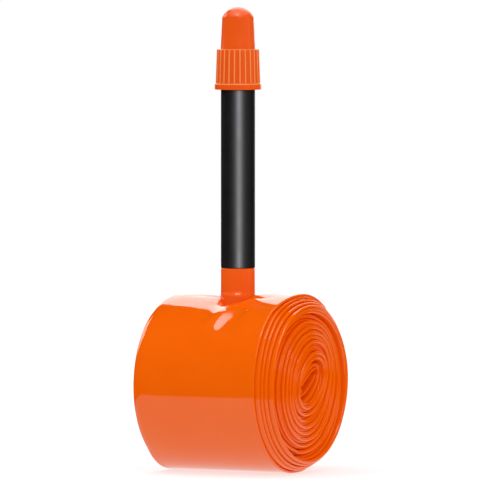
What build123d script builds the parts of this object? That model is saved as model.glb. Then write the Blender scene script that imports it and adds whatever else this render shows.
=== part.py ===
from build123d import *
import math
import os

os.makedirs("parts", exist_ok=True)

# A thin-walled road inner tube, pressed flat, folded in two and rolled up, with its slim valve
# standing on the roll.  Millimetres.  +Z runs up the valve, X along the axis of the roll, and the
# origin is under the valve on the flat strip that the roll rests on.

# The roll: a flattened tube whose outer layers step outwards at the open end (+X)
tube_flat_width = 23.6
outer_edge_x = 10.8  # the outermost layer's edge at the open end
roll_radius = 15.95  # at the outermost layer's open edge
roll_taper = 0.55  # how much slimmer the far end is
rest_flat_depth = 0.1  # how far the slimmer end is pressed flat
outer_layer_pitch = 0.5  # one flattened layer of tube, loosely wound
stepped_layers = 4
layer_step = 0.95
crest_width = 0.9
dish_depth = 1.0  # from the proudest layer down to the ring inside it
eye_depth = 0.7  # from the proudest layer down to the folded start of the roll
film_thickness = 0.2

# The moulded foot: a flat flange welded inside the tube, and the neck that stands out of it
flange_radius = 5.5
flange_thickness = 0.6
neck_height = 4.7  # above the top of the roll
neck_draft = 0.1  # how much wider the neck is at its flange, each side
dimple_margin = 2.0  # the film comes back up to the roll this far outside the flange
weld_gap = 0.02

# The stem, and the spigot by which it is bonded into the neck
stem_diameter = 6.0
stem_length = 32.1
spigot_diameter = 4.4
spigot_length = 4.0
air_bore_diameter = 2.4
stem_tip_step = 0.2  # the stem is this much slimmer, each side, where the cap covers it
stem_edge_chamfer = 0.2

# Running clearances, each side
thread_clearance = 0.05
seat_clearance = 0.05
loose_clearance = 0.3

# The valve core: a barrel with wrench flats over a narrower thread and a slim tail
barrel_diameter = 5.2
barrel_length = 5.2
barrel_flats_width = 4.6
barrel_flats_length = 3.2
core_shoulder = 0.4  # the barrel's step down to the lower thread, each side
core_thread_length = 5.0
tail_diameter = 3.0
tail_length = 10.3
gasket_height = 1.7
core_edge_chamfer = 0.3

# The pin, its lock nut, and the plug that it draws up against the tail
pin_thread_diameter = 2.0
pin_shaft_diameter = 1.5
pin_travel = 2.6
pin_tip_allowance = 0.3  # what is left above the nut when the pin is pushed right down
nut_diameter = 4.2
nut_height = 3.0
nut_groove_count = 18
nut_groove_width = 0.3
nut_groove_depth = 0.18
plug_diameter = 2.8
plug_height = 1.9
cup_diameter = 2.2
cup_height = 0.6
pin_rivet_height = 0.3

# The dust cap: a flanged, ribbed skirt under a smooth tapered barrel with a domed end
cap_overlap = 0.8  # how far its mouth comes down over the stem
cap_mouth_clearance = 0.2
cap_skirt_wall = 0.73
cap_skirt_height = 6.0
cap_skirt_draft = 0.41  # how much slimmer the skirt is at its top
cap_flange_lip = 0.17
cap_flange_height = 1.05
cap_rib_count = 24
cap_rib_width = 0.36
cap_rib_height = 0.2
cap_barrel_wall = 0.66
cap_barrel_height = 5.6
cap_barrel_draft = 0.56
cap_dome_height = 1.8
cap_dome_wall = 1.1
cap_tip_bore_diameter = 2.8

# Heights and radii that follow
far_radius = roll_radius - roll_taper
far_edge_x = outer_edge_x - tube_flat_width
roll_axis_z = far_radius - rest_flat_depth
valve_radius = far_radius - roll_taper * far_edge_x / tube_flat_width
roll_top = roll_axis_z + valve_radius
flange_top = roll_axis_z + math.sqrt((valve_radius - film_thickness) ** 2 - flange_radius**2)
flange_bottom = flange_top - flange_thickness
dimple_floor = flange_top + film_thickness
neck_top = roll_top + neck_height
neck_foot_diameter = stem_diameter + 2 * neck_draft
neck_taper = math.degrees(math.atan(neck_draft / (neck_top - flange_top)))
spigot_bottom = neck_top - spigot_length
stem_top = neck_top + stem_length
barrel_top = stem_top + barrel_length
core_thread_diameter = barrel_diameter - 2 * core_shoulder
core_thread_bottom = stem_top - core_thread_length
tail_bottom = core_thread_bottom - tail_length
core_seat = core_thread_bottom - gasket_height - seat_clearance
tail_bore_diameter = pin_shaft_diameter + 2 * loose_clearance
stem_tail_bore_diameter = max(plug_diameter, tail_diameter) + 2 * loose_clearance
nut_bottom = barrel_top + seat_clearance
nut_top = nut_bottom + nut_height
pin_tip = nut_top + pin_travel + pin_tip_allowance
plug_top = tail_bottom - seat_clearance
plug_bottom = plug_top - plug_height
cup_bottom = plug_bottom - cup_height
pin_bottom = cup_bottom - pin_rivet_height
stem_tail_bore_bottom = pin_bottom - pin_travel - loose_clearance
cap_mouth = stem_top - cap_overlap
cap_shoulder = stem_top + loose_clearance
cap_thread_top = barrel_top + loose_clearance
cap_flange_top = cap_mouth + cap_flange_height
cap_skirt_top = cap_flange_top + cap_skirt_height
cap_barrel_top = cap_skirt_top + cap_barrel_height
cap_top = cap_barrel_top + cap_dome_height
cap_nut_bore_diameter = nut_diameter + 2 * loose_clearance
cap_nut_bore_top = nut_top + loose_clearance
cap_skirt_bottom_radius = stem_diameter / 2 + cap_mouth_clearance + cap_skirt_wall
cap_skirt_top_radius = cap_skirt_bottom_radius - cap_skirt_draft / 2
cap_skirt_taper = math.degrees(math.atan(cap_skirt_draft / 2 / cap_skirt_height))
cap_flange_radius = cap_skirt_bottom_radius + cap_flange_lip
cap_barrel_radius = cap_nut_bore_diameter / 2 + cap_barrel_wall
cap_barrel_top_radius = cap_barrel_radius - cap_barrel_draft / 2
cap_dome_radius = (cap_barrel_top_radius**2 + cap_dome_height**2) / (2 * cap_dome_height)
roll_axis = Axis((0, 0, roll_axis_z), (1, 0, 0))


def end_outline(edge_x, radius):
    """Outline of one end of the roll, as (x, z) from the outer surface in to the axis."""
    points = [(edge_x, radius)]
    for layer in range(stepped_layers):
        inner = radius - (layer + 1) * outer_layer_pitch
        points.append((edge_x + layer * layer_step, inner))
        points.append((edge_x + (layer + 1) * layer_step, inner))
    crest_x = edge_x + stepped_layers * layer_step
    dish_rim = radius - stepped_layers * outer_layer_pitch - crest_width
    points.append((crest_x, dish_rim))
    points.append((crest_x - dish_depth, dish_rim))
    points.append((crest_x - eye_depth, 0))
    return [(x, roll_axis_z + r) for x, r in points]


def bored(diameter, bottom, top):
    """A round hole along the valve's axis, cut from the part that is being built."""
    with BuildSketch(Plane.XY.offset(bottom)) as outline:
        Circle(diameter / 2)
    extrude(outline.sketch, amount=top - bottom, mode=Mode.SUBTRACT)


def turned(diameter, bottom, top):
    """A round length along the valve's axis, added to the part that is being built."""
    with BuildSketch(Plane.XY.offset(bottom)) as outline:
        Circle(diameter / 2)
    extrude(outline.sketch, amount=top - bottom)


# The rolled tube, with the pocket in which the foot is welded
with BuildPart() as tube_roll:
    with BuildSketch(Plane.XZ):
        with BuildLine():
            open_end = end_outline(outer_edge_x, roll_radius)
            far_end = end_outline(far_edge_x, far_radius)
            Polyline(*open_end, *reversed(far_end), close=True)
        make_face()
    revolve(axis=roll_axis)
    split(bisect_by=Plane.XY, keep=Keep.TOP)
    with BuildSketch(Plane.XZ):
        with BuildLine():
            Polyline(
                (0, dimple_floor),
                (neck_foot_diameter / 2 + weld_gap, dimple_floor),
                (flange_radius + dimple_margin, roll_top),
                (flange_radius + dimple_margin, roll_top + dimple_margin),
                (0, roll_top + dimple_margin),
                close=True,
            )
        make_face()
    revolve(axis=Axis.Z, mode=Mode.SUBTRACT)
    bored(neck_foot_diameter + 2 * weld_gap, flange_top, roll_top)
    bored(2 * (flange_radius + weld_gap), flange_bottom - weld_gap, flange_top + weld_gap)

# The foot, moulded in the tube's colour
with BuildPart() as valve_foot:
    turned(2 * flange_radius, flange_bottom, flange_top)
    with BuildSketch(Plane.XY.offset(flange_top)):
        Circle(neck_foot_diameter / 2)
    extrude(amount=neck_top - flange_top, taper=neck_taper)
    bored(spigot_diameter + 2 * weld_gap, spigot_bottom - weld_gap, neck_top)
    bored(air_bore_diameter, flange_bottom, spigot_bottom)

# The smooth stem
with BuildPart() as valve_stem:
    turned(stem_diameter - 2 * stem_tip_step, neck_top + weld_gap, stem_top)
    chamfer(valve_stem.faces().sort_by(Axis.Z)[-1].edges(), stem_edge_chamfer)
    turned(stem_diameter, neck_top + weld_gap, cap_mouth)
    turned(spigot_diameter, spigot_bottom, neck_top + weld_gap)
    bored(air_bore_diameter, spigot_bottom, stem_tail_bore_bottom)
    bored(stem_tail_bore_diameter, stem_tail_bore_bottom, core_seat)
    bored(core_thread_diameter + 2 * thread_clearance, core_seat, stem_top)

# The valve core's body
with BuildPart() as core_body:
    turned(barrel_diameter, stem_top + seat_clearance, barrel_top)
    chamfer(core_body.faces().sort_by(Axis.Z)[-1].edges(), core_edge_chamfer)
    with BuildSketch(Plane.XY.offset(barrel_top - barrel_flats_length)):
        Rectangle(2 * barrel_diameter, 2 * barrel_diameter)
        Rectangle(2 * barrel_diameter, barrel_flats_width, mode=Mode.SUBTRACT)
    extrude(amount=barrel_flats_length, mode=Mode.SUBTRACT)
    turned(core_thread_diameter, core_thread_bottom, stem_top + seat_clearance)
    turned(tail_diameter, tail_bottom, core_thread_bottom)
    bored(tail_bore_diameter, tail_bottom, stem_top)
    bored(pin_thread_diameter + 2 * thread_clearance, stem_top, barrel_top)

# The soft ring that seals the core against the shoulder in the stem
with BuildPart() as core_gasket:
    turned(core_thread_diameter, core_thread_bottom - gasket_height, core_thread_bottom)
    fillet(core_gasket.faces().sort_by(Axis.Z)[0].edges(), core_edge_chamfer)
    bored(tail_diameter, core_thread_bottom - gasket_height, core_thread_bottom)

# The pin, with its rounded tip and riveted lower end
with BuildPart() as core_pin:
    turned(pin_thread_diameter, stem_top + pin_travel, pin_tip)
    fillet(core_pin.faces().sort_by(Axis.Z)[-1].edges(), core_edge_chamfer)
    turned(pin_shaft_diameter, cup_bottom, stem_top + pin_travel)
    turned(cup_diameter - 2 * loose_clearance, pin_bottom, cup_bottom)

# The rubber plug and the cup that holds it on the pin
with BuildPart() as pin_plug:
    turned(plug_diameter, plug_bottom, plug_top)
    chamfer(pin_plug.faces().sort_by(Axis.Z)[-1].edges(), core_edge_chamfer)
    bored(pin_shaft_diameter, plug_bottom, plug_top)

with BuildPart() as plug_cup:
    turned(cup_diameter, cup_bottom, plug_bottom)
    bored(pin_shaft_diameter, cup_bottom, plug_bottom)

# The knurled lock nut
with BuildPart() as lock_nut:
    turned(nut_diameter, nut_bottom, nut_top)
    chamfer(lock_nut.faces().sort_by(Axis.Z)[-1].edges(), core_edge_chamfer)
    with BuildSketch(Plane.XY.offset(nut_bottom)):
        with PolarLocations(nut_diameter / 2, nut_groove_count):
            Rectangle(2 * nut_groove_depth, nut_groove_width)
    extrude(amount=nut_height, mode=Mode.SUBTRACT)
    bored(pin_thread_diameter + 2 * thread_clearance, nut_bottom, nut_top)

# Ribs of the cap's skirt, each a radial blade trimmed to the skirt's taper
with BuildPart() as cap_ribs:
    with BuildSketch(Plane.XY.offset(cap_flange_top)):
        Circle(cap_skirt_bottom_radius)
    extrude(amount=cap_skirt_height, taper=cap_skirt_taper)
    with BuildSketch(Plane.XY.offset(cap_flange_top)):
        with PolarLocations(cap_skirt_bottom_radius, cap_rib_count):
            Rectangle(4 * cap_rib_height, cap_rib_width)
    extrude(amount=cap_skirt_height, mode=Mode.INTERSECT)

# The dust cap
with BuildPart() as dust_cap:
    with BuildSketch(Plane.XZ):
        with BuildLine():
            Polyline(
                (cap_barrel_top_radius, cap_barrel_top),
                (cap_barrel_radius, cap_skirt_top),
                (cap_skirt_top_radius - cap_rib_height, cap_skirt_top),
                (cap_skirt_bottom_radius - cap_rib_height, cap_flange_top),
                (cap_flange_radius, cap_flange_top),
                (cap_flange_radius, cap_mouth),
                (0, cap_mouth),
                (0, cap_top),
            )
            RadiusArc((0, cap_top), (cap_barrel_top_radius, cap_barrel_top), cap_dome_radius)
        make_face()
    revolve(axis=Axis.Z)
    add(cap_ribs.part)
    with BuildSketch(Plane.XZ):
        with BuildLine():
            Polyline(
                (0, cap_mouth),
                (stem_diameter / 2 + cap_mouth_clearance, cap_mouth),
                (stem_diameter / 2 + cap_mouth_clearance, cap_shoulder),
                (barrel_diameter / 2 + thread_clearance, cap_shoulder),
                (barrel_diameter / 2 + thread_clearance, cap_thread_top),
                (cap_nut_bore_diameter / 2, cap_thread_top),
                (cap_nut_bore_diameter / 2, cap_nut_bore_top),
                (cap_tip_bore_diameter / 2, cap_top - cap_dome_wall),
                (0, cap_top - cap_dome_wall),
                close=True,
            )
        make_face()
    revolve(axis=Axis.Z, mode=Mode.SUBTRACT)

pieces = {
    "tube_roll": tube_roll,
    "valve_foot": valve_foot,
    "valve_stem": valve_stem,
    "core_body": core_body,
    "core_gasket": core_gasket,
    "core_pin": core_pin,
    "pin_plug": pin_plug,
    "plug_cup": plug_cup,
    "lock_nut": lock_nut,
    "dust_cap": dust_cap,
}
for name, piece in pieces.items():
    piece.part.label = name
    export_step(piece.part, f"parts/{name}.step")
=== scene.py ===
import math

import bpy
import numpy as np
from mathutils import Matrix, Vector


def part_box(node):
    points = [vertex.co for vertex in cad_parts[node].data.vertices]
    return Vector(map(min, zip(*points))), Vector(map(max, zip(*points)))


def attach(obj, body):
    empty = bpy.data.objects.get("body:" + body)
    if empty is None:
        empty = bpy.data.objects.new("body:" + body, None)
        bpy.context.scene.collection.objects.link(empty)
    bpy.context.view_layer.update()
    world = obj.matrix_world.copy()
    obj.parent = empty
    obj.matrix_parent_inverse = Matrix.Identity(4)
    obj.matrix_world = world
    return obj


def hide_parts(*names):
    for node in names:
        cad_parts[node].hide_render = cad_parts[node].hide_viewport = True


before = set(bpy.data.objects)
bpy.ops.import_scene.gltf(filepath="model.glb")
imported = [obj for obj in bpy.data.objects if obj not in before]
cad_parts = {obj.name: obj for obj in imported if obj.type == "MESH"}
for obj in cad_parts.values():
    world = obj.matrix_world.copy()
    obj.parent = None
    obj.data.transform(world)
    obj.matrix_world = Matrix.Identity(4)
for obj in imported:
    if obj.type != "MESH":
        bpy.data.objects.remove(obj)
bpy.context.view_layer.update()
mm = 0.001


def settle():  # object mode, with nothing selected
    if bpy.context.mode != "OBJECT":
        bpy.ops.object.mode_set(mode="OBJECT")
    bpy.ops.object.select_all(action="DESELECT")


def pick(piece):
    settle()
    piece.select_set(True)
    bpy.context.view_layer.objects.active = piece


def pickFaces(piece, wanted):  # wanted(centre, normal) says which faces
    pick(piece)
    bpy.ops.object.mode_set(mode="EDIT")
    bpy.ops.mesh.select_mode(type="FACE")
    bpy.ops.mesh.select_all(action="DESELECT")
    bpy.ops.object.mode_set(mode="OBJECT")
    for face in piece.data.polygons:
        face.select = bool(wanted(face.center, face.normal))
    bpy.ops.object.mode_set(mode="EDIT")


def bevelEdges(piece, width, angle):
    pick(piece)
    bevel = piece.modifiers.new("edges", "BEVEL")
    bevel.width, bevel.segments = width, 2
    bevel.limit_method, bevel.angle_limit = "ANGLE", math.radians(angle)
    bpy.ops.object.modifier_apply(modifier=bevel.name)


def smooth(piece, angle):
    pick(piece)
    bpy.ops.object.shade_smooth_by_angle(angle=math.radians(angle))


def coordinates(piece):
    flat = np.empty(len(piece.data.vertices) * 3)
    piece.data.vertices.foreach_get("co", flat)
    return flat.reshape(-1, 3)


def putBack(piece, points):
    piece.data.vertices.foreach_set("co", points.ravel())
    piece.data.update()


def widen(piece, points, times):  # each point goes to so many times its distance from the valve's axis
    points[:, :2] *= times[:, None]
    putBack(piece, points)


def spun(name, profile, steps):  # (radius, height) outline, turned about the valve's axis
    settle()
    bpy.ops.mesh.primitive_plane_add(size=mm, location=(0, 0, 0))
    piece = bpy.context.object
    piece.name = piece.data.name = name
    bpy.ops.object.mode_set(mode="EDIT")
    bpy.ops.mesh.select_mode(type="VERT")
    bpy.ops.mesh.select_all(action="SELECT")
    bpy.ops.mesh.merge(type="CENTER")
    bpy.ops.transform.translate(value=(profile[0][0], 0, profile[0][1]))
    for (r0, z0), (r1, z1) in zip(profile, profile[1:]):
        bpy.ops.mesh.extrude_vertices_move(TRANSFORM_OT_translate={"value": (r1 - r0, 0, z1 - z0)})
    bpy.ops.mesh.select_all(action="SELECT")
    bpy.ops.mesh.spin(steps=steps, angle=2 * math.pi, center=(0, 0, 0), axis=(0, 0, 1))
    bpy.ops.mesh.select_all(action="SELECT")
    bpy.ops.mesh.remove_doubles(threshold=0.001 * mm)
    bpy.ops.mesh.normals_make_consistent(inside=False)
    bpy.ops.object.mode_set(mode="OBJECT")
    return piece


def rounded(points, radius, steps=3):  # an outline with its inner corners rounded
    out = [points[0]]
    for before, here, after in zip(points, points[1:], points[2:]):
        p, q, r = map(Vector, (before, here, after))
        a, b = p - q, r - q
        cut = min(radius, a.length * 0.45, b.length * 0.45)  # two cuts fit on one side
        start, end = q + a.normalized() * cut, q + b.normalized() * cut
        for i in range(steps + 1):
            t = i / steps
            out.append(tuple((1 - t) ** 2 * start + 2 * t * (1 - t) * q + t * t * end))
    return out + [points[-1]]


def softened(profile, radius):  # a closed outline, rounded except where it meets its bore
    return profile[:1] + rounded(profile[1:-1], radius) + profile[-1:]


class Wire:  # a socket that takes part in sums
    def __init__(self, finish, socket):
        self.finish, self.socket = finish, socket

    def math(self, operation, first, second):
        return self.finish.add("ShaderNodeMath", {"operation": operation}, {0: first, 1: second})

    def __add__(self, other): return self.math("ADD", self, other)
    def __radd__(self, other): return self.math("ADD", other, self)
    def __sub__(self, other): return self.math("SUBTRACT", self, other)
    def __rsub__(self, other): return self.math("SUBTRACT", other, self)
    def __mul__(self, other): return self.math("MULTIPLY", self, other)
    def __rmul__(self, other): return self.math("MULTIPLY", other, self)
    def __truediv__(self, other): return self.math("DIVIDE", self, other)
    def __rtruediv__(self, other): return self.math("DIVIDE", other, self)
    def __pow__(self, other): return self.math("POWER", self, other)
    def __rpow__(self, other): return self.math("POWER", other, self)

    def limited(self):  # kept from 0 to 1
        return self.finish.add("ShaderNodeClamp", {}, {0: self})


class Finish:  # one material, whose constants sit on the shader's own sockets
    def __init__(self, name, constants):
        self.material = bpy.data.materials.new(name)
        self.material.use_nodes = True
        self.tree = self.material.node_tree
        self.tree.nodes.clear()
        self.shader = self.tree.nodes.new("ShaderNodeBsdfPrincipled")
        out = self.tree.nodes.new("ShaderNodeOutputMaterial")
        self.tree.links.new(self.shader.outputs[0], out.inputs["Surface"])
        for socket, value in constants.items():
            self.shader.inputs[socket].default_value = value
        self.place = self.add("ShaderNodeTexCoord", {}, {}, "Object")

    def add(self, kind, settings, inputs, output=0):
        node = self.tree.nodes.new(kind)
        for key, value in settings.items():
            setattr(node, key, value)
        for key, value in inputs.items():
            if isinstance(value, Wire):
                self.tree.links.new(value.socket, node.inputs[key])
            else:
                node.inputs[key].default_value = value
        return Wire(self, node.outputs[output])

    def feed(self, socket, wire):
        self.tree.links.new(wire.socket, self.shader.inputs[socket])

    def axis(self, index):  # the place along x, y or z
        return self.add("ShaderNodeSeparateXYZ", {}, {0: self.place}, index)

    def noise(self, scale, detail, roughness, stretch=None):
        place = self.place
        if stretch:
            place = self.add("ShaderNodeMapping", {}, {"Vector": place, "Scale": stretch})
        return self.add("ShaderNodeTexNoise", {},
                        {"Vector": place, "Scale": scale, "Detail": detail, "Roughness": roughness})

    def mixed(self, factor, first, second):
        return self.add("ShaderNodeMix", {"data_type": "RGBA"}, {"Factor": factor, 6: first, 7: second}, 2)

    def bump(self, height, distance, strength):
        self.feed("Normal", self.add("ShaderNodeBump", {},
                                     {"Height": height, "Distance": distance, "Strength": strength}))


def paint(finish, *pieces):
    for piece in pieces:
        piece.data.materials.clear()
        piece.data.materials.append(finish.material)


cameraSetup = {
    "aim": (0, 0, 40 * mm),
    "azimuth": 27.2,
    "elevation": 2.8,
    "distance": 1.5,
    "sensor": 36,
    "lens": 641.7,
    "clip": (0.05, 10),
    "nudge": (0.35 * mm, 0.58 * mm),  # to its right and up, to frame the whole valve
}


def face(thing, direction):
    thing.rotation_mode = "QUATERNION"
    thing.rotation_quaternion = direction.to_track_quat("Z", "Y")


def makeCamera(setup):
    a, e = math.radians(setup["azimuth"]), math.radians(setup["elevation"])
    back = Vector((math.sin(a) * math.cos(e), -math.cos(a) * math.cos(e), math.sin(e)))
    right = Vector((math.cos(a), math.sin(a), 0))
    up = back.cross(right)
    aim = Vector(setup["aim"]) + right * setup["nudge"][0] + up * setup["nudge"][1]
    settle()
    bpy.ops.object.camera_add(location=aim + back * setup["distance"])
    camera = bpy.context.object
    camera.data.sensor_width, camera.data.lens = setup["sensor"], setup["lens"]
    camera.data.clip_start, camera.data.clip_end = setup["clip"]
    face(camera, back)
    bpy.context.scene.camera = camera


makeCamera(cameraSetup)

lightSetup = {
    "fill": 0.85,
    # direction, height it aims at, distance, width, height, watts, colour, and the rays that miss it
    "lamps": {
        "key": ((-0.3, -0.2, 1.0), 20 * mm, 0.9, 0.5, 0.5, 2.0, (1, 1, 1), ["glossy"]),
        "side": ((1.0, -0.25, 0.20), 20 * mm, 0.9, 0.5, 0.5, 1.4, (1, 1, 1), ["glossy"]),
        "stemStrip": ((0.56, -0.82, 0.03), 50 * mm, 0.9, 0.15, 0.80, 26.0, (0.97, 0.95, 1.0), ["camera", "diffuse"]),
    },
    # softboxes that only gloss shows: middle, width, height, strength below and above
    "softboxes": {
        "backLeft": ((-0.185, 0.40, 0.375), 0.49, 0.75, 1.3, 4.4),
        "backHigh": ((-0.05, 0.40, 0.93), 0.34, 0.34, 3.0, 3.0),
        "farLeft": ((-0.77, 0.18, 0.41), 0.40, 0.30, 3.6, 3.6),
        "overhead": ((0.05, -0.15, 0.80), 0.30, 0.50, 9.0, 2.5),
        "frontRight": ((0.55, -0.60, 0.70), 0.40, 0.40, 1.8, 1.8),
        "right": ((0.85, 0.30, 0.25), 0.30, 0.40, 0.6, 0.9),
        "capTop": ((0.0, 0.10, 0.95), 1.3, 1.5, 1.9, 1.9),
    },
    "boxAim": 20 * mm,  # height that they face
    "metalRoom": (1.6, 0.15, 1.3),  # surroundings for the bright metal: radius, strength below and above
    # white card under the roll, for its gloss: two corners, depth, strength, and how far it fades in from the front
    "lowCard": ((-0.060, -0.071), (0.055, 0.055), 0.2 * mm, 0.9, 0.009),
    "floorSize": 24,
    "floorColour": (0.45, 0.45, 0.45, 1),
    "floorGlow": 0.62,
}


def hideFrom(thing, rays):
    for ray in rays:
        setattr(thing, "visible_" + ray, False)


def addCard(name, width, height, middle):
    settle()
    bpy.ops.mesh.primitive_plane_add(size=1)
    card = bpy.context.object
    card.name, card.scale, card.location = name, (width, height, 1), middle
    return card


def glowing(card, strength, grey):  # grey(finish) says how bright it is over its surface
    glow = Finish(card.name + "Glow", {"Base Color": (0, 0, 0, 1), "Roughness": 1.0, "Emission Strength": strength})
    value = grey(glow)
    glow.feed("Emission Color", glow.add("ShaderNodeCombineColor", {}, {0: value, 1: value, 2: value}))
    paint(glow, card)
    hideFrom(card, ["camera", "diffuse", "shadow", "transmission", "volume_scatter"])


def addSoftbox(name, setup, aimHeight):
    middle, width, height, low, high = setup
    box = addCard(name, width, height, middle)
    upright = name.startswith("back")
    face(box, Vector((0, 1, 0)) if upright else Vector(middle) - Vector((0, 0, aimHeight)))
    glowing(box, 1.0, lambda glow: low + (high - low) * (glow.axis(1) + 0.5))


def addLamp(name, setup):
    direction, aimHeight, distance, width, height, watts, colour, hidden = setup
    away = Vector(direction).normalized()
    settle()
    bpy.ops.object.light_add(type="AREA", location=Vector((0, 0, aimHeight)) + away * distance)
    lamp = bpy.context.object
    lamp.name = name
    lamp.data.shape = "RECTANGLE"
    lamp.data.size, lamp.data.size_y = width, height
    lamp.data.energy, lamp.data.color = watts, colour
    face(lamp, away)
    hideFrom(lamp, hidden)


def makeStudio(setup):
    world = bpy.data.worlds.new("studio")
    bpy.context.scene.world = world
    world.use_nodes = True
    sky = world.node_tree.nodes["Background"]
    sky.inputs["Color"].default_value = (1, 1, 1, 1)
    sky.inputs["Strength"].default_value = setup["fill"]
    world.cycles_visibility.glossy = False
    for name, box in setup["softboxes"].items():
        addSoftbox(name, box, setup["boxAim"])
    for name, lamp in setup["lamps"].items():
        addLamp(name, lamp)

    settle()
    bpy.ops.mesh.primitive_grid_add(x_subdivisions=8, y_subdivisions=8, size=setup["floorSize"])
    floor = bpy.context.object
    floor.name = "floor"
    hideFrom(floor, ["glossy", "diffuse"])
    paint(Finish("palePaper", {"Base Color": setup["floorColour"], "Roughness": 0.9, "Specular IOR Level": 0.0,
                               "Emission Color": (1, 1, 1, 1), "Emission Strength": setup["floorGlow"]}), floor)

    radius, low, high = setup["metalRoom"]
    settle()
    bpy.ops.mesh.primitive_uv_sphere_add(segments=24, ring_count=12, radius=radius)
    room = bpy.context.object
    room.name = "metalRoom"
    glowing(room, 1.0, lambda glow: low + (high - low) * (glow.axis(2) / (2 * radius) + 0.5))

    (x0, y0), (x1, y1), depth, strength, fade = setup["lowCard"]
    card = addCard("lowCard", x1 - x0, y1 - y0, ((x0 + x1) / 2, (y0 + y1) / 2, -depth))
    glowing(card, strength, lambda glow: ((glow.axis(1) + 0.5) * ((y1 - y0) / fade)).limited())
    bpy.context.scene.view_settings.view_transform = "Standard"


makeStudio(lightSetup)
print("camera and studio set")

# The roll is one flattened loop, doubled and wound from its middle.  Its turns are counted outwards, its angles
# run inwards from the folded outer end, its lengths are in mm, and its edges' shifts are towards the open end.
rollSetup = {
    "stripWidth": 24.2,
    "turns": 13.72,            # double turns, up to the folded end
    "endAngle": -35,           # the folded outer end lies behind the top
    "firstTurn": 0.248,
    "strandShift": 0.25,       # each strand of the doubled loop lies this many turns off their middle
    "axisHeight": 15.32,
    "rowStep": 0.982,          # from one double turn to the next, where the roll rests
    "levelRate": 0.87,         # how closely the rows lie over its flat underside
    "levelBlend": 0.25,
    "lean": [(0, -66), (1.3, -60), (4, -45)],  # the flat eye of the roll leans back, most at its middle
    "eyeLong": (3.4, 0.880),   # long half axis of the winding: at the middle, and more each turn
    "eyeShort": [(0, 0.3), (0.5, 0.9), (1.0, 2.0), (1.6, 3.05), (3.0, 4.25), (14, 15.72)],
    "eyeOffset": (1.6, 0.7, 9.5),  # the middle lies this far back and up, less each turn out
    "wobble": [(0.05, 1.37, 1), (0.03, 2.61, 2)],  # of the winding: size, waves around, waves outwards
    "drift": [(0.10, 0.83, 2.3), (0.07, 1.9, -1)],  # and of its edges
    "driftFrom": 4,
    "webHalf": 0.17,           # half of the flattened tube's thickness
    "beadHalf": 0.235,         # and at its folded edges
    "beadReach": 1.3,
    "fatBead": 0.35,           # the inner turns' outer strands have rounder edges
    "fatFrom": (1.45, 1.8),    # turns in from the outer sheet's end, where they begin and where they are full
    "fatEnds": (40, 90),       # degrees short of the middle, and over which they slim down again
    "edgeShift": [(0, 1.9), (1.25, 2.2), (1.8, 3.1), (3.2, 3.15), (3.7, 2.7), (4.3, 2.65), (4.8, 3.1), (8, 3.05),
                  (9.2, 3.0), (9.6, 2.3), (10.45, 2.1), (10.8, 3.3), (11.3, 3.8), (11.6, 3.88), (11.9, 3.3),
                  (13.6, 0), (14.2, -0.7)],
    "crestTurn": 11.6,
    "crestTilt": (0.5, 7, 3, 1.8, 13),  # amount in front, first turn, turns to full, turns beyond the crest, radius
    "closing": (0.46, 34, -12, -80, -150),  # behind the top the outer steps close up towards the crest
    "grooveFill": (10.1, 0.8, 0.9, 0.7),  # behind, the groove inside the crest is shallower: turn, reach, lift, spread
    "pairStep": (0.40, 0.6),   # the inner strand of each pair lies this much deeper, less near the crest
    "endHold": 6,
    "outerEnd": (1.6, 40),     # where both strands meet: their shift, and how far round it is felt
    "middleEnd": (2.1, 200),
    "outerAngle": 385,         # the outer sheet, which the creases need fine, goes this far round
    "fine": (110, 1.15, 2, 2.2),  # degrees of its finest part and their step, then the gap and step of the rest
    "turnSteps": (12, 2.0),    # the inner strand of the outer end
    "coarse": (2, 10, 5.0),    # overlaps of the inner strands with the outer sheet, and their step
    "taper": 0.0007,
    "filmSpare": 0.43,         # from the axis' height to the outermost film
    "farSpare": 0.35,
    "farDroop": [(4.5, 0.50), (1.6, 0.45)],  # the unsupported far edge falls in over these lengths, by these depths
    "droopUnder": 2.5,         # depth to which the layers below follow
    "droopFloor": (0.8, 3),    # it fades out near the floor
    "creaseUnder": 3.5,
    "creaseReach": 1.6,        # radians from the top
    # creases of the film round the neck: start, end (along the axis, round the roll), width, depth
    "creases": [
        ((0.0, 2.0), (-1.6, 7.5), 1.3, 0.46),
        ((0.5, 4.2), (6.0, 2.0), 0.8, 0.35),
        ((2.0, 8.6), (-0.8, 15.4), 2.0, -0.46),
        ((4.8, 8.0), (2.4, 15.0), 1.8, 0.44),
        ((0.4, 6.0), (-2.6, 13.0), 1.5, 0.16),
        ((2.6, 1.6), (8.6, 3.8), 0.55, 0.36),
        ((2.8, 0.4), (9.0, 0.8), 0.5, -0.16),
        ((2.8, -1.0), (8.8, -1.9), 0.6, 0.26),
        ((2.9, 3.0), (7.6, 6.4), 0.6, -0.26),
        ((1.8, 5.4), (5.4, 7.4), 0.5, 0.22),
        ((6.9, 7.6), (6.0, 10.4), 0.6, -0.18),
        ((-2.8, 1.2), (-8.0, 2.2), 0.9, 0.14),
        ((-2.6, -1.5), (-7.0, -3.6), 0.8, 0.12),
        ((0.0, -2.8), (0.6, -8.5), 0.9, 0.22),
        ((1.6, -2.6), (4.6, -7.4), 0.7, 0.20),
    ],
    "creaseTail": 0.2,         # each runs on past its ends by this share of its length
    "creaseSpread": (0.7, 0.6),  # and widens: its width at the start, and how much more at the end
    "neckDip": (0.35, 1.25, 2.6, 2.6, 1.4),  # all round the neck, extra in front, its rim, reach and fall-off
    "outerSection": (40, 7),   # points across the strip, and round each folded edge
    "innerSection": (3, 5),
    "smoothAngle": 60,
}


def between(table, value):
    xs, ys = zip(*table)
    return np.interp(value, xs, ys)


def softMax(a, b, reach):
    h = np.clip(0.5 + 0.5 * (a - b) / reach, 0, 1)
    return b * (1 - h) + a * h + reach * h * (1 - h)


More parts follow.
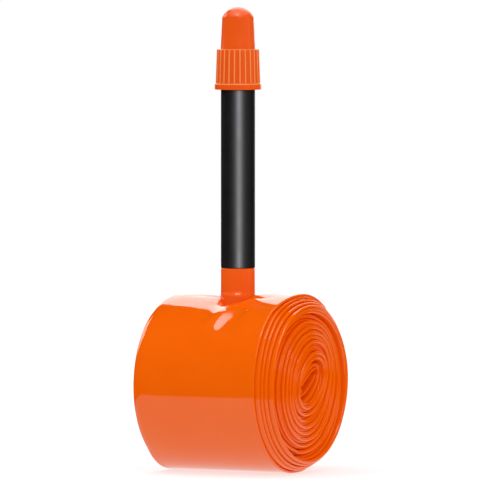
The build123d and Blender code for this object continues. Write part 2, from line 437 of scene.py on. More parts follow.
def ease(t):
    t = min(1, max(0, t))
    return t * t * (3 - 2 * t)


def waves(table, angle, turn):
    return sum(size * math.sin(angle * around + turn * outward) for size, around, outward in table)


def lastAngle(setup):
    return setup["endAngle"] + 360 * (setup["turns"] - setup["firstTurn"])


def layerShift(setup, turn, angle, side, forward, drift):  # how far the strand's edge stands out of the open end
    crest, shift = setup["crestTurn"], between(setup["edgeShift"], turn)
    amount, begins, full, until, gone = setup["closing"]
    place = (angle + 180) % 360 - 180
    if turn > crest:
        close = ease((begins - place) / (begins - full)) * ease((place - gone) / (until - gone))
        top = between(setup["edgeShift"], crest)
        shift = top - (top - shift) * (1 - amount * close)
    grooveTurn, reach, lift, spread = setup["grooveFill"]
    behind = max(0, math.cos(math.radians(place + 90))) ** spread
    shift += lift * behind * math.exp(-((turn - grooveTurn) / reach) ** 2)
    amount, first, rise, fall, radius = setup["crestTilt"]
    tilted = ease((turn - first) / rise) * (1 - ease((turn - crest) / fall))
    shift -= amount * tilted * (1 + forward / radius)
    deeper, fade = setup["pairStep"]
    pair = deeper * min(1, max(0, (crest - turn) / fade)) if side < 0 else 0
    shift += drift * min(1, turn / setup["driftFrom"]) - pair
    for (common, reach), away in ((setup["outerEnd"], angle - setup["endAngle"]),
                                  (setup["middleEnd"], lastAngle(setup) - angle)):
        near = math.exp(-(max(away - setup["endHold"], 0) / reach) ** 2)
        shift = common * near + shift * (1 - near)
    return shift


def windingPoint(setup, turn, angle, side):  # (y, z, x) of the strand's middle line
    long = setup["eyeLong"][0] + setup["eyeLong"][1] * turn
    short = between(setup["eyeShort"], turn)
    lean = math.radians(between(setup["lean"], turn))
    a = math.radians(angle) - lean
    along, across = long * math.cos(a), short * math.sin(a)
    back, rise, reach = setup["eyeOffset"]
    inner = ease(1 - turn / reach)
    up = along * math.cos(lean) - across * math.sin(lean) + rise * inner
    forward = along * math.sin(lean) + across * math.cos(lean) - back * inner
    outermost = setup["turns"] + setup["strandShift"] - (180 - setup["endAngle"]) / 360
    depth = (outermost - turn) * setup["rowStep"]
    level = setup["beadHalf"] + setup["levelRate"] * depth
    height = setup["axisHeight"] + up + waves(setup["wobble"], a, turn) * up / max(long, 1)
    height = float(softMax(height, level, setup["levelBlend"]))
    return -forward, height, layerShift(setup, turn, angle, side, forward, waves(setup["drift"], a, turn))


def windingLine(setup, startAngle, endAngle, side, step):  # side 1 is the outer strand
    points = []
    count = max(2, int(abs(endAngle - startAngle) / step))
    for i in range(count + 1):
        angle = startAngle + (endAngle - startAngle) * i / count
        turn = setup["turns"] - (angle - setup["endAngle"]) / 360
        points.append(windingPoint(setup, turn + side * setup["strandShift"], angle, side))
    return points


def hairpin(first, second, ahead, count=8):  # half circle from one strand to the other
    a, b = Vector(first), Vector(second)
    middle, arm = (a + b) / 2, (a - b) / 2
    out = (ahead - ahead.project(arm)).normalized() * arm.length * 1.1  # a little longer than round
    angles = [math.pi * i / count for i in range(1, count)]
    return [tuple(middle + arm * math.cos(t) + out * math.sin(t)) for t in angles]


def stripSection(setup, webPoints, beadPoints):  # closed outline of the flattened tube: (thickness, width)
    half, web, bead, reach = setup["stripWidth"] / 2, setup["webHalf"], setup["beadHalf"], setup["beadReach"]
    if webPoints == 3:
        widths = [reach - half, 0, half - reach]
    else:
        widths = [-(half - bead) + 2 * (half - bead) * (i + 0.5) / webPoints for i in range(webPoints)]
    side = []
    for w in widths:
        near = max(0, 1 - (half - bead - abs(w)) / reach)
        side.append((web + (bead - web) * near * near * (3 - 2 * near), w))
    angles = [math.pi * i / (beadPoints - 1) for i in range(beadPoints)]
    fold = [(bead * math.cos(t), half - bead + bead * math.sin(t)) for t in angles]
    return side + fold + [(-t, -w) for t, w in side + fold]


def polyCurve(name, points, closed):
    settle()
    bpy.ops.curve.primitive_nurbs_path_add()
    curve = bpy.context.object
    curve.name = name
    curve.data.splines.clear()
    line = curve.data.splines.new("POLY")
    line.points.add(len(points) - 1)
    line.points.foreach_set("co", [v for p in points for v in (p[0] * mm, p[1] * mm, p[2] * mm, 1)])
    line.use_cyclic_u = closed
    curve.data.dimensions = "3D"
    curve.data.twist_mode = "Z_UP"
    return curve


def sweep(name, points, section):
    outline = polyCurve(name + "Outline", [(t, w, 0) for t, w in section], True)
    path = polyCurve(name, points, False)
    path.data.bevel_mode = "OBJECT"
    path.data.bevel_object = outline
    path.data.use_fill_caps = True
    pick(path)
    bpy.ops.object.convert(target="MESH")
    swept = bpy.context.object
    bpy.data.objects.remove(outline)
    return swept


def swell(swept, path, edgeRadii, setup):  # the folded edges of each ring get their own roundness
    rings = len(path)
    points = coordinates(swept) / mm
    each = len(points) // rings
    half, bead = setup["stripWidth"] / 2, setup["beadHalf"]
    middle = np.array(path)[:, None, :]
    offset = points[:rings * each].reshape(rings, each, 3) - middle
    width = np.abs(offset[:, :, 2])
    grow = np.array(edgeRadii)[:, None] / bead
    near = np.clip(1 - (half - bead - width) / setup["beadReach"], 0, 1)
    near = near * near * (3 - 2 * near)
    beyond = np.maximum(width - (half - bead), 0)
    offset[:, :, :2] *= (1 + (grow - 1) * near)[:, :, None]
    offset[:, :, 2] = np.sign(offset[:, :, 2]) * (np.minimum(width, half - bead) - bead * (grow - 1) * near
                                                  + beyond * grow)
    points[:rings * each] = (middle + offset).reshape(-1, 3)
    putBack(swept, points * mm)


def creaseDepth(setup, x, s):  # how far the film is pressed in, by its place on the roll
    around, front, rim, reach, fall = setup["neckDip"]
    tail, (narrow, wider) = setup["creaseTail"], setup["creaseSpread"]
    far = np.hypot(x, s)
    forward = np.clip(s / np.maximum(far, 1e-6), 0, 1)
    depth = (around + front * forward ** 2) * np.exp(-(np.maximum(far - rim, 0) / reach) ** fall)
    for (x0, s0), (x1, s1), width, deep in setup["creases"]:
        dx, ds = x1 - x0, s1 - s0
        length = math.hypot(dx, ds)
        along = ((x - x0) * dx + (s - s0) * ds) / length
        across = ((x - x0) * ds - (s - s0) * dx) / length
        t = np.clip(along / length, -tail, 1 + tail)
        fade = np.clip((t + tail) / (2 * tail), 0, 1) * np.clip((1 + tail - t) / (3 * tail), 0, 1)
        fade = fade * fade * (3 - 2 * fade)
        depth += deep * fade * np.exp(-(across / (width * (narrow + wider * t))) ** 2)
    return depth


def makeStrips(setup):  # the fine outer sheet, and all the turns inside it
    end, last = setup["endAngle"], lastAngle(setup)
    cut = end + setup["outerAngle"]
    fineReach, fineStep, gap, step = setup["fine"]
    fine = windingLine(setup, end, end + fineReach, 1, fineStep)
    fine += windingLine(setup, end + fineReach + gap, cut, 1, step)
    turnReach, turnStep = setup["turnSteps"]
    inside = windingLine(setup, end, end + turnReach, -1, turnStep)
    outerPath = inside[::-1] + hairpin(inside[0], fine[0], Vector(fine[0]) - Vector(fine[1])) + fine
    outer = sweep("rollOuter", outerPath, stripSection(setup, *setup["outerSection"]))

    sheetLap, turnLap, step = setup["coarse"]
    start = cut - sheetLap
    strandA = windingLine(setup, start, last, 1, step)
    strandB = windingLine(setup, end + turnLap, last, -1, step)
    turnIn = hairpin(strandA[-1], strandB[-1], Vector(strandA[-1]) - Vector(strandA[-2]))
    innerPath = strandA + turnIn + strandB[::-1]
    inner = sweep("rollInner", innerPath, stripSection(setup, *setup["innerSection"]))
    slim, fat = setup["beadHalf"], setup["fatBead"]
    fatBegins, fatFull = (start + 360 * turns for turns in setup["fatFrom"])
    short, over = setup["fatEnds"]
    radii = []
    for i in range(len(innerPath)):
        angle = start + (last - start) * i / (len(strandA) - 1)
        fatness = ease((angle - fatBegins) / (fatFull - fatBegins)) * ease((last - short - angle) / over)
        radii.append(slim + (fat - slim) * fatness if i < len(strandA) else slim)
    swell(inner, innerPath, radii, setup)
    return outer, inner


def makeRoll(setup):
    outer, inner = makeStrips(setup)
    pick(inner)
    outer.select_set(True)
    bpy.ops.object.join()
    roll = bpy.context.object
    roll.name = roll.data.name = "rolled_tube"
    roll.data.transform(Matrix(((0, 0, 1, 0), (1, 0, 0, 0), (0, 1, 0, 0), (0, 0, 0, 1))))  # its width runs along x
    pick(roll)
    bpy.ops.object.mode_set(mode="EDIT")
    bpy.ops.mesh.select_all(action="SELECT")
    bpy.ops.mesh.normals_make_consistent(inside=False)
    bpy.ops.object.mode_set(mode="OBJECT")

    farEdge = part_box("tube_roll")[0].x / mm - setup["farSpare"]
    x, y, z = (coordinates(roll) / mm).T
    x = x + farEdge + setup["stripWidth"] / 2
    size = 1 + setup["taper"] * x
    y, z = y * size, z * size
    axis, radius = setup["axisHeight"] * size, (setup["axisHeight"] + setup["filmSpare"]) * size
    r, angle = np.hypot(y, z - axis), np.arctan2(-y, z - axis)
    under = np.maximum(radius - r, 0)
    floorGap, floorFade = setup["droopFloor"]
    droop = sum(deep * np.clip((farEdge + length - x) / length, 0, 1) ** 2 for length, deep in setup["farDroop"])
    droop = droop * np.exp(-under / setup["droopUnder"]) * np.clip((z - floorGap) / floorFade, 0, 1)
    pressed = creaseDepth(setup, x, angle * radius) * np.exp(-under / setup["creaseUnder"])
    r = r - droop - pressed * (np.abs(angle) < setup["creaseReach"])
    z = np.maximum(axis + r * np.cos(angle), 0.0)
    putBack(roll, np.stack([x, -r * np.sin(angle), z], axis=1) * mm)
    smooth(roll, setup["smoothAngle"])
    return roll


roll = makeRoll(rollSetup)
print("rolled tube", len(roll.data.polygons), "faces")

footSetup = {
    "steps": 96,
    "neckRadius": 3.0 * mm,
    "boreRadius": 2.22 * mm,
    "boreDepth": 4.0 * mm,
    "airRadius": 1.2 * mm,
    # the ring round the neck's foot: how far out, and how far over the roll's top
    "ring": [(0.02 * mm, 0.55 * mm), (0.15 * mm, 0.20 * mm), (0.42 * mm, -0.10 * mm), (0.56 * mm, -0.35 * mm)],
    "flare": (0.66 * mm, 7.2 * mm),  # out, and below the neck's top
    "flange": (5.5 * mm, 7.5 * mm, 7.9 * mm),  # radius, and its faces below the neck's top
    "edge": 0.12 * mm,
    "sideFlare": 0.12,  # the film pulls the flare out in front, and less at the sides
    "flareTurn": -63,
    "flareSpan": (4.0 * mm, 7.3 * mm),
}


def makeFoot(setup):
    top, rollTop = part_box("valve_foot")[1].z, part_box("tube_roll")[1].z
    neck, bore, air = setup["neckRadius"], setup["boreRadius"], setup["airRadius"]
    seat = top - setup["boreDepth"]
    flare, flareDrop = setup["flare"]
    flange, flangeTop, flangeLow = setup["flange"]
    profile = [(bore, seat), (bore, top), (neck, top)]
    profile += [(neck + out, rollTop + up) for out, up in setup["ring"]]
    profile += [(neck + flare, top - flareDrop), (flange, top - flangeTop), (flange, top - flangeLow),
                (air, top - flangeLow), (air, seat), (bore, seat)]
    foot = spun("valve_neck", softened(profile, setup["edge"]), setup["steps"])
    points = coordinates(foot)
    x, y, z = points.T
    r = np.hypot(x, y)
    front = np.clip(np.cos(np.arctan2(y, x) - math.radians(setup["flareTurn"])), 0, 1) ** 2
    share = setup["sideFlare"] + (1 - setup["sideFlare"]) * front
    spanTop, spanLow = setup["flareSpan"]
    flared = (r > neck) & (z > top - spanLow) & (z < top - spanTop)
    widen(foot, points, np.where(flared, (neck + (r - neck) * share) / np.maximum(r, 1e-9), 1))
    smooth(foot, 50)
    return foot


foot = makeFoot(footSetup)

capSetup = {
    "steps": 72,                 # three to each rib
    "ribHeight": 0.2 * mm,
    "ribSlope": 0.05 * mm,
    "lip": 0.17 * mm,            # the flange stands out of the ribs by this
    "lipEdge": (0.12 * mm, 0.1 * mm),
    "flangeHeight": 1.05 * mm,
    "skirtHeight": 6.0 * mm,
    "skirtDraft": 0.205 * mm,
    "barrelHeight": 5.6 * mm,
    "barrelRadii": (3.06 * mm, 2.78 * mm),
    "domeSteps": 12,
    "domeEdge": (0.5 * mm, 4),   # its corner's radius and steps
    "domeWall": 1.1 * mm,
    "tipBore": 1.4 * mm,
    "nutBore": 2.4 * mm,
    "threadBore": 2.65 * mm,
    "mouthBore": 3.2 * mm,
    "clearance": 0.3 * mm,
    "edge": 0.06 * mm,
    # painted light: paler where the ribs, the flange's rim and the skirt's lip are thin and light would come through
    # them: strength, and height or radius it covers
    "paintedLightColour": (0.95, 0.30, 0.075, 1),
    "paintedLightRib": (0.85, 0.03 * mm, 0.13 * mm),
    "paintedLightRim": (0.9, 0.03 * mm, 0.16 * mm),
    "paintedLightLip": (0.6, 0.12 * mm),
}


def makeCap(setup):
    low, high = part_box("dust_cap")
    mouth, top, flange = low.z, high.z, (high.x - low.x) / 2
    rib, lip = setup["ribHeight"], setup["lip"]
    skirtLow = flange - lip - rib
    skirtHigh = skirtLow - setup["skirtDraft"]
    flangeTop = mouth + setup["flangeHeight"]
    skirtTop = flangeTop + setup["skirtHeight"]
    barrelTop = skirtTop + setup["barrelHeight"]
    barrelLow, barrelHigh = setup["barrelRadii"]
    rise = top - barrelTop  # the dome is a slice of a ball
    ball = (barrelHigh ** 2 + rise ** 2) / (2 * rise)
    slopes = [math.asin(barrelHigh / ball) * (1 - i / setup["domeSteps"]) for i in range(1, setup["domeSteps"] + 1)]
    dome = [(ball * math.sin(a), top - ball * (1 - math.cos(a))) for a in slopes]
    corner = rounded([(barrelLow, skirtTop), (barrelHigh, barrelTop), dome[0]], *setup["domeEdge"])[1:-1]
    lipIn, lipDown = setup["lipEdge"]
    mouthBore, threadBore, nutBore = setup["mouthBore"], setup["threadBore"], setup["nutBore"]
    outer = [(mouthBore, mouth), (flange, mouth), (flange, flangeTop - lipDown), (flange - lipIn, flangeTop),
             (skirtLow, flangeTop), (skirtHigh, skirtTop), (barrelLow, skirtTop)]
    below = ("valve_stem", "core_body", "lock_nut")
    stemEnd, coreEnd, nutEnd = (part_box(node)[1].z + setup["clearance"] for node in below)
    tip = top - setup["domeWall"]
    inner = [(0, tip), (setup["tipBore"], tip), (nutBore, nutEnd), (nutBore, coreEnd), (threadBore, coreEnd),
             (threadBore, stemEnd), (mouthBore, stemEnd), (mouthBore, mouth)]
    cap = spun("ribbed_cap", outer + corner + dome + inner, setup["steps"])
    third = 2 * math.pi / setup["steps"]

    def onRib(centre, normal):  # every third face of the skirt's wall
        if not flangeTop < centre.z < skirtTop or abs(normal.z) > 0.5 or centre.xy.length < skirtHigh * 0.97:
            return False
        return round(math.atan2(centre.y, centre.x) / third - 0.5) % 3 == 0

    pickFaces(cap, onRib)
    bpy.ops.mesh.inset(thickness=setup["ribSlope"], depth=rib, use_individual=True)
    bpy.ops.object.mode_set(mode="OBJECT")
    bevelEdges(cap, setup["edge"], 30)
    smooth(cap, 35)
    return cap


cap = makeCap(capSetup)
print("neck and cap", len(foot.data.polygons), len(cap.data.polygons))


def cutThread(piece, pitch, depth, radius, zLow, zHigh):  # a helical groove in the turned wall of this radius
    points = coordinates(piece)
    x, y, z = points.T
    r = np.hypot(x, y)
    turn = (z / pitch - np.arctan2(y, x) / (2 * math.pi)) % 1
    groove = 1 - np.abs(2 * turn - 1)
    runOut = 0.5 * pitch
    fade = np.clip((z - zLow) / runOut, 0, 1) * np.clip((zHigh - z) / runOut, 0, 1)
    onWall = (np.abs(r - radius) < 0.05 * mm) & (z > zLow - 0.001 * mm) & (z < zHigh + 0.001 * mm)
    widen(piece, points, np.where(onWall, 1 - depth * groove * fade / np.maximum(r, 1e-9), 1))


def wall(radius, start, end, step):  # a straight turned wall, in steps fine enough for a thread
    count = max(1, round(abs(end - start) / step))
    return [(radius, start + (end - start) * i / count) for i in range(count + 1)]


stemSetup = {
    "steps": 96,
    "edge": 0.12 * mm,
    "tipStep": 0.2 * mm,          # slimmer where the cap covers it
    "tipChamfer": 0.2 * mm,
    "shoulder": 0.1 * mm,
    "spigotRadius": 2.2 * mm,
    "spigotGap": 0.02 * mm,
    "airRadius": 1.2 * mm,
    "tailRadius": 1.8 * mm,
    "tailEnds": (2.85 * mm, 3.45 * mm),  # room below the pin, and down to the end of its cone
    "seatCone": 0.1 * mm,
    "mouthEdge": 0.15 * mm,
    "threadRadius": 2.25 * mm,
    "threadSpan": (0.3 * mm, 5.2 * mm),
    "threadStep": 0.08 * mm,
    "threadPitch": 0.8 * mm,
    "threadDepth": 0.12 * mm,
}


def makeStem(setup):
    low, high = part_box("valve_stem")
    capMouth, seat, pinLow = (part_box(node)[0].z for node in ("dust_cap", "core_gasket", "core_pin"))
    r, air, tail, thread = high.x, setup["airRadius"], setup["tailRadius"], setup["threadRadius"]
    tip, edge, chamfer, mouth = r - setup["tipStep"], setup["edge"], setup["tipChamfer"], setup["mouthEdge"]
    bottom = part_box("valve_foot")[1].z + setup["spigotGap"]
    tailEnd, coneEnd = (pinLow - room for room in setup["tailEnds"])
    threadTop, threadLow = (high.z - drop for drop in setup["threadSpan"])
    profile = [(air, low.z), (setup["spigotRadius"], low.z), (setup["spigotRadius"], bottom), (r - edge, bottom),
               (r, bottom + edge), (r, capMouth - setup["shoulder"]), (tip, capMouth), (tip, high.z - chamfer),
               (tip - chamfer, high.z), (thread + mouth, high.z), (thread, high.z - mouth)]
    profile += wall(thread, threadTop, threadLow, setup["threadStep"])
    profile += [(thread, seat), (tail, seat - setup["seatCone"]), (tail, tailEnd), (air, coneEnd), (air, low.z)]
    stem = spun("satin_stem", profile, setup["steps"])
    cutThread(stem, setup["threadPitch"], -setup["threadDepth"], thread, threadLow, threadTop)
    smooth(stem, 30)
    return stem


coreSetup = {
    "steps": 72,
    "boreRadius": 1.05 * mm,
    "tailRadius": 1.5 * mm,
    "tailEdge": 0.2 * mm,
    "seatGap": 0.05 * mm,
    "sealRadius": 2.0 * mm,
    "neckRadius": 2.05 * mm,      # the undercut between its two threads
    "neckHeight": 0.3 * mm,
    "lowerRadius": 2.2 * mm,
    "lowerPitch": 0.8 * mm,
    "lowerDepth": 0.14 * mm,
    "lowerEnds": (0.2 * mm, 0.4 * mm),
    "barrelPitch": 1.058 * mm,
    "barrelDepth": 0.26 * mm,
    "barrelEnds": (0.3 * mm, 0.2 * mm),
    "threadSteps": (0.09 * mm, 0.088 * mm),
    "barrelEdge": 0.1 * mm,
    "barrelTop": (0.35 * mm, 0.3 * mm),  # height and width of its chamfer
    "boreEdge": 0.15 * mm,
    "flats": 4.6 * mm,
    "flatLength": 3.2 * mm,
}


def makeCore(setup):
    low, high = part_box("core_body")
    seal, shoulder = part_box("core_gasket")[1].z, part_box("valve_stem")[1].z + setup["seatGap"]
    r, bore, tail, lower = high.x, setup["boreRadius"], setup["tailRadius"], setup["lowerRadius"]
    neck, edge, boreEdge, lip = setup["neckRadius"], setup["tailEdge"], setup["boreEdge"], setup["barrelEdge"]
    (topDown, topIn), (lowerStep, barrelStep) = setup["barrelTop"], setup["threadSteps"]
    lowerLow, lowerHigh = seal + setup["lowerEnds"][0], shoulder - setup["lowerEnds"][1]
    profile = [(bore, low.z), (tail - edge, low.z), (tail, low.z + edge), (tail, seal), (setup["sealRadius"], seal)]
    profile += wall(lower, lowerLow, lowerHigh, lowerStep)
    profile += [(neck, shoulder - setup["neckHeight"]), (neck, shoulder), (r - lip, shoulder)]
    profile += wall(r, shoulder + lip, high.z - topDown, barrelStep)
    profile += [(r - topIn, high.z), (bore + boreEdge, high.z), (bore, high.z - boreEdge), (bore, low.z)]
    core = spun("core_barrel", profile, setup["steps"])
    cutThread(core, setup["lowerPitch"], setup["lowerDepth"], lower, lowerLow, lowerHigh)
    barrelLow, barrelHigh = shoulder + setup["barrelEnds"][0], high.z - setup["barrelEnds"][1]
    cutThread(core, setup["barrelPitch"], setup["barrelDepth"], r, barrelLow, barrelHigh)
    points = coordinates(core)  # two flats for the core wrench
    upper = points[:, 2] > high.z - setup["flatLength"]
    half = setup["flats"] / 2
    points[upper, 1] = np.clip(points[upper, 1], -half, half)
    putBack(core, points)
    smooth(core, 30)
    return core


pinSetup = {
    "steps": 48,
    "shaftRadius": 0.75 * mm,
    "rivetRadii": (0.55 * mm, 0.8 * mm),
    "rivetHeights": (0.02 * mm, 0.15 * mm),
    "threadStart": 2.6 * mm,      # above the stem's end
    "threadLead": (0.05 * mm, 0.12 * mm),  # the cone under it: height and width
    "threadRise": 0.13 * mm,
    "threadEnd": 0.5 * mm,
    "threadStep": 0.05 * mm,
    "pitch": 0.4 * mm,
    "depth": 0.09 * mm,
    "tipRadius": 0.3 * mm,
    "tipSteps": 6,
}


def makePin(setup):
    low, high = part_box("core_pin")
    threadLow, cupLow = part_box("valve_stem")[1].z + setup["threadStart"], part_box("plug_cup")[0].z
    shaft, r, tip, steps = setup["shaftRadius"], high.x, setup["tipRadius"], setup["tipSteps"]
    (rivetEnd, rivet), (firstRise, rivetRise) = setup["rivetRadii"], setup["rivetHeights"]
    leadDown, leadOut = setup["threadLead"]
    start, stop = threadLow + setup["threadRise"], high.z - setup["threadEnd"]
    profile = [(0, low.z), (rivetEnd, low.z + firstRise), (rivet, low.z + rivetRise), (rivet, cupLow), (shaft, cupLow),
               (shaft, threadLow - leadDown), (shaft + leadOut, threadLow)]
    profile += wall(r, start, stop, setup["threadStep"])
    for i in range(1, steps + 1):
        a = math.pi / 2 * i / steps
        profile.append((r - tip * (1 - math.cos(a)), high.z - tip * (1 - math.sin(a))))
    profile.append((0, high.z))
    pin = spun("valve_pin_rod", profile, setup["steps"])
    cutThread(pin, setup["pitch"], setup["depth"], r, start, stop)
    smooth(pin, 30)
    return pin


sealSetup = {
    "steps": 64,
    "gasketBore": 1.5 * mm,
    "pinBore": 0.75 * mm,
    "rubberEdge": 0.15 * mm,
    "cupEdge": 0.08 * mm,
}


def makeSeal(name, node, outline, bore, edge, angle):  # outline(radius, low, high) is its outer side
    low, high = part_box(node)
    profile = [(bore, low.z)] + outline(high.x, low.z, high.z) + [(bore, low.z)]
    seal = spun(name, softened(profile, edge), sealSetup["steps"])
    smooth(seal, angle)
    return seal


def gasketSide(r, low, high):  # squeezed a little at its middle
    return [(r - 0.3 * mm, low), (r, low + 0.35 * mm), (r - 0.05 * mm, (low + high) / 2), (r, high - 0.1 * mm),
            (r - 0.1 * mm, high), (sealSetup["gasketBore"], high)]


def plugSide(r, low, high):  # its upper end is the cone that seals
    return [(r - 0.1 * mm, low), (r, low + 0.15 * mm), (r, high - 0.45 * mm), (r - 0.3 * mm, high),
            (sealSetup["pinBore"], high)]


def cupSide(r, low, high):
    return [(r - 0.12 * mm, low), (r, low + 0.2 * mm), (r, high), (r - 0.08 * mm, high),
            (sealSetup["pinBore"], high - 0.02 * mm)]


nutSetup = {
    "teeth": 18,
    "toothSteps": 6,
    "toothShape": (0.25, 0.6),    # where the wave's flank starts, and its height
    "depth": 0.17 * mm,
    "boreRadius": 1.05 * mm,
    "foot": (0.25 * mm, 0.2 * mm),
    "wallEnds": (0.35 * mm, 0.15 * mm),
    "wallStep": 0.3 * mm,
    "boreEdge": 0.2 * mm,
    "chamfer": 0.3 * mm,
}


def makeNut(setup):
    low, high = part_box("lock_nut")
    r, bore, edge = (high.y - low.y) / 2, setup["boreRadius"], setup["chamfer"]
    footIn, footUp = setup["foot"]
    wallLow, wallHigh = low.z + setup["wallEnds"][0], high.z - edge - setup["wallEnds"][1]
    profile = [(bore, low.z), (r - footIn, low.z), (r, low.z + footUp)]
    profile += wall(r, wallLow, wallHigh, setup["wallStep"])
    profile += [(r, high.z - edge), (r - edge, high.z), (bore + setup["boreEdge"], high.z),
                (bore, high.z - setup["boreEdge"]), (bore, low.z)]
    nut = spun("knurled_nut", profile, setup["teeth"] * setup["toothSteps"])
    points = coordinates(nut)
    x, y = points.T[:2]
    radius = np.hypot(x, y)
    flank, rise = setup["toothShape"]
    tooth = np.clip((0.5 - 0.5 * np.cos(np.arctan2(y, x) * setup["teeth"]) - flank) / rise, 0, 1)
    share = np.clip((radius - (r - edge)) / edge, 0, 1)
    widen(nut, points, 1 - setup["depth"] * (1 - tooth) * share / np.maximum(radius, 1e-9))
    smooth(nut, 30)
    return nut


stem = makeStem(stemSetup)
core = makeCore(coreSetup)
gasket = makeSeal("core_seal", "core_gasket", gasketSide, sealSetup["gasketBore"], sealSetup["rubberEdge"], 50)
pin = makePin(pinSetup)
plug = makeSeal("seal_plug", "pin_plug", plugSide, sealSetup["pinBore"], sealSetup["rubberEdge"], 50)
cup = makeSeal("seal_cup", "plug_cup", cupSide, sealSetup["pinBore"], sealSetup["cupEdge"], 40)
nut = makeNut(nutSetup)
print("stem and valve core made")

filmSetup = {
    "colours": ((0.855, 0.111, 0.0006, 1), (0.885, 0.133, 0.0010, 1)),
    "roughness": (0.045, 0.04),   # least, and how much it varies
    "paintedGlowColour": (1.0, 0.09, 0.0, 1),  # painted glow: a little emission stands in for light that comes through the thin film
    "glow": 0.06,
    "clouds": (160, 3, 0.5),      # each noise: scale, detail, roughness, and its stretch if it has one
    "waves": (210, 2, 0.45),
    "streaks": (90, 2, 0.5, (1, 6, 6)),
    "streakShare": 0.35,
    "waveHeight": 0.06 * mm,
    "waveStrength": 0.5,
}
mouldedGrain = {
    "clouds": (300, 3, 0.55),
    "roughnessSpread": 0.06,
    "grain": (9000, 2, 0.6),
    "grainStrength": 0.4,
}
mouldedSetup = {  # colours, roughness, height of the grain, gloss
    "mouldedNeck": (((0.90, 0.102, 0.001, 1), (0.94, 0.116, 0.002, 1)), 0.20, 0.002 * mm, 0.3),
    "satinStem": (((0.0014, 0.0014, 0.0022, 1), (0.0028, 0.0028, 0.0040, 1)), 0.48, 0.003 * mm, 0.5),
    "mouldedCap": (((0.83, 0.084, 0.001, 1), (0.88, 0.100, 0.002, 1)), 0.23, 0.004 * mm, 0.28),
}
metalSetup = {
    "colours": ((0.62, 0.60, 0.55, 1), (0.80, 0.78, 0.73, 1)),
    "roughness": (0.18, 0.18),
    "wear": (900, 4, 0.6),
    "turning": (300, 3, 0.6, (1, 1, 40)),
    "markDepth": 0.004 * mm,
}
rubberSetup = {
    "colours": ((0.022, 0.022, 0.023, 1), (0.040, 0.039, 0.038, 1)),
    "roughness": (0.5, 0.25),
    "clouds": (1500, 3, 0.6),
    "grain": (12000, 2, 0.5),
    "grainHeight": 0.01 * mm,
}


def filmFinish(setup):  # glossy film, with the faint waves of a pressed tube and a painted glow
    # its emission is a painted glow, lightening the film's crevices as light through the thin film would
    film = Finish("glossFilm", {"IOR": 1.5, "Emission Color": setup["paintedGlowColour"], "Emission Strength": setup["glow"]})
    cloud, streak = film.noise(*setup["clouds"]), film.noise(*setup["streaks"])
    least, more = setup["roughness"]
    film.feed("Base Color", film.mixed(cloud, *setup["colours"]))
    film.feed("Roughness", least + more * cloud)
    height = film.noise(*setup["waves"]) + setup["streakShare"] * streak
    film.bump(height, setup["waveHeight"], setup["waveStrength"])
    return film


def mouldedFinish(name, setup=mouldedGrain):  # moulded plastic with a fine satin grain
    colours, roughness, grainHeight, gloss = mouldedSetup[name]
    plastic = Finish(name, {"Specular IOR Level": gloss})
    cloud, spread = plastic.noise(*setup["clouds"]), setup["roughnessSpread"]
    plastic.colour = plastic.mixed(cloud, *colours)
    plastic.feed("Base Color", plastic.colour)
    plastic.feed("Roughness", roughness - spread + 2 * spread * cloud)
    plastic.bump(plastic.noise(*setup["grain"]), grainHeight, setup["grainStrength"])
    return plastic


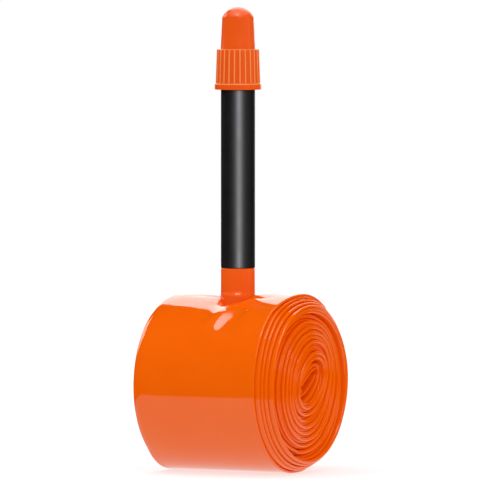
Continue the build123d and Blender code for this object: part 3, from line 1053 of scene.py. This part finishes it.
def capFinish(setup):  # painted light: paler on the thin ribs and rims, standing in for the light that comes through them
    low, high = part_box("dust_cap")
    plastic = mouldedFinish("mouldedCap")
    x, y, z = map(plastic.axis, range(3))
    height = z - (low.z + setup["flangeHeight"])
    skirt = setup["skirtHeight"]
    groove = high.x - setup["lip"] - setup["ribHeight"] - height * (setup["skirtDraft"] / skirt)
    onSkirt = (height / (0.1 * mm)).limited() * ((skirt + 0.02 * mm - height) / (0.05 * mm)).limited()
    ribLight, ribFoot, ribRise = setup["paintedLightRib"]
    rib = (((x * x + y * y) ** 0.5 - groove - ribFoot) / ribRise).limited() * onSkirt
    rimLight, rimDrop, rimHalf = setup["paintedLightRim"]
    rim = (1 - (height + rimDrop) * (height + rimDrop) / rimHalf ** 2).limited()
    lipLight, lipHalf = setup["paintedLightLip"]
    lip = (1 - (height - skirt) * (height - skirt) / lipHalf ** 2).limited()
    # painted light on the ribs, the rim and the lip, mixed into the base colour
    paintedLight = (ribLight * rib + rimLight * rim + lipLight * lip).limited()
    plastic.feed("Base Color", plastic.mixed(paintedLight, plastic.colour, setup["paintedLightColour"]))
    return plastic


def metalFinish(setup):  # nickel-plated brass, fine turning marks and slight wear
    metal = Finish("nickelPlate", {"Metallic": 1.0})
    wear, turning = metal.noise(*setup["wear"]), metal.noise(*setup["turning"])
    least, more = setup["roughness"]
    metal.feed("Base Color", metal.mixed(wear, *setup["colours"]))
    metal.feed("Roughness", least + more * turning)
    metal.bump(turning, setup["markDepth"], 0.5)
    return metal


def rubberFinish(setup):
    rubber = Finish("sealRubber", {})
    cloud = rubber.noise(*setup["clouds"])
    least, more = setup["roughness"]
    rubber.feed("Base Color", rubber.mixed(cloud, *setup["colours"]))
    rubber.feed("Roughness", least + more * cloud)
    rubber.bump(rubber.noise(*setup["grain"]), setup["grainHeight"], 0.5)
    return rubber


paint(filmFinish(filmSetup), roll)
paint(mouldedFinish("mouldedNeck"), foot)
paint(capFinish(capSetup), cap)
paint(mouldedFinish("satinStem"), stem)
paint(metalFinish(metalSetup), core, pin, cup, nut)
paint(rubberFinish(rubberSetup), gasket, plug)
for lightName, pieces in (("stemStrip", [stem]), ("capTop", [cap]), ("metalRoom", [core, pin, cup, nut])):
    lit = bpy.data.collections.new(lightName)  # these light a few pieces only
    for piece in pieces:
        lit.objects.link(piece)
    bpy.data.objects[lightName].light_linking.receiver_collection = lit
print("finishes set")

for piece, body, slot, node in (
    (roll, "tube", "tube_film", "tube_roll"),
    (foot, "tube", "foot_plastic", "valve_foot"),
    (stem, "tube", "stem_plastic", "valve_stem"),
    (core, "valve_core", "core_metal", "core_body"),
    (gasket, "valve_core", "seal_rubber", "core_gasket"),
    (pin, "valve_pin", "core_metal", "core_pin"),
    (plug, "valve_pin", "seal_rubber", "pin_plug"),
    (cup, "valve_pin", "core_metal", "plug_cup"),
    (nut, "lock_nut", "core_metal", "lock_nut"),
    (cap, "dust_cap", "cap_plastic", "dust_cap"),
):
    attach(piece, body)
    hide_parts(node)
    print(piece.name, len(piece.data.polygons), "faces")
